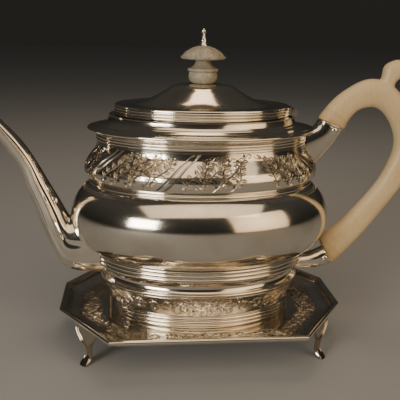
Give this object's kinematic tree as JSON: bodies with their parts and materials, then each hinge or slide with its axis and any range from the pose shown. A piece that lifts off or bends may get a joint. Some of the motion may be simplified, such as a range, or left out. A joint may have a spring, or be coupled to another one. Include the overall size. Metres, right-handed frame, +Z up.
{
  "type": "silver teapot on stand",
  "caption": "Oval bulged silver teapot with panelled swan-neck spout, scroll handle, hinged domed lid and turned finial, standing on an octagonal footed stand.",
  "frame": {"origin": "on the table under the middle of the object, at the level of the stand's toes", "axes": "+X towards the handle, -X towards the spout, +Y to the back, +Z up"},
  "size_m": [0.275, 0.134, 0.1889],
  "materials": {
    "polished_silver": "polished",
    "engraved_silver": "bright-cut engraved",
    "plain_silver": "satin",
    "ivory": "semi-matt, aged",
    "turned_horn": "semi-matt, turned"
  },
  "bodies": {
    "stand": {"stand_tray": "engraved_silver", "stand_rim_wire": "polished_silver", "stand_foot_front_left": "polished_silver", "stand_foot_front_right": "polished_silver", "stand_foot_back_left": "polished_silver", "stand_foot_back_right": "polished_silver"},
    "teapot": {"foot_rim_wire": "polished_silver", "foot_band": "engraved_silver", "foot_neck": "polished_silver", "bottom_plate": "plain_silver", "girdle_wire": "polished_silver", "bowl": "polished_silver", "waist_wire": "polished_silver", "frieze_band": "engraved_silver", "rim_moulding": "polished_silver", "shoulder": "polished_silver", "mouth_bezel_seat": "plain_silver", "spout": "polished_silver", "upper_socket": "polished_silver", "lower_socket": "polished_silver", "handle": "ivory", "upper_handle_pin": "polished_silver", "lower_handle_pin": "polished_silver", "body_hinge_leaf": "polished_silver", "hinge_pin": "plain_silver"},
    "lid": {"lid_edge_wire": "polished_silver", "lid_cover": "polished_silver", "lid_bezel": "plain_silver", "lid_hinge_leaf": "polished_silver", "finial_knop": "turned_horn", "finial_button": "turned_horn", "finial_cap": "polished_silver", "finial_bolt": "plain_silver", "finial_nut": "plain_silver"}
  },
  "joints": [
    {"name": "teapot_lift", "type": "slide", "parent": "stand", "child": "teapot", "axis": [0, 0, 1], "range_m": [0, 0.06]},
    {"name": "lid_hinge", "type": "hinge", "parent": "teapot", "child": "lid", "pos_m": [0.05405, 0, 0.14217], "axis": [0, 1, 0], "range_deg": [0, 95]}
  ]
}
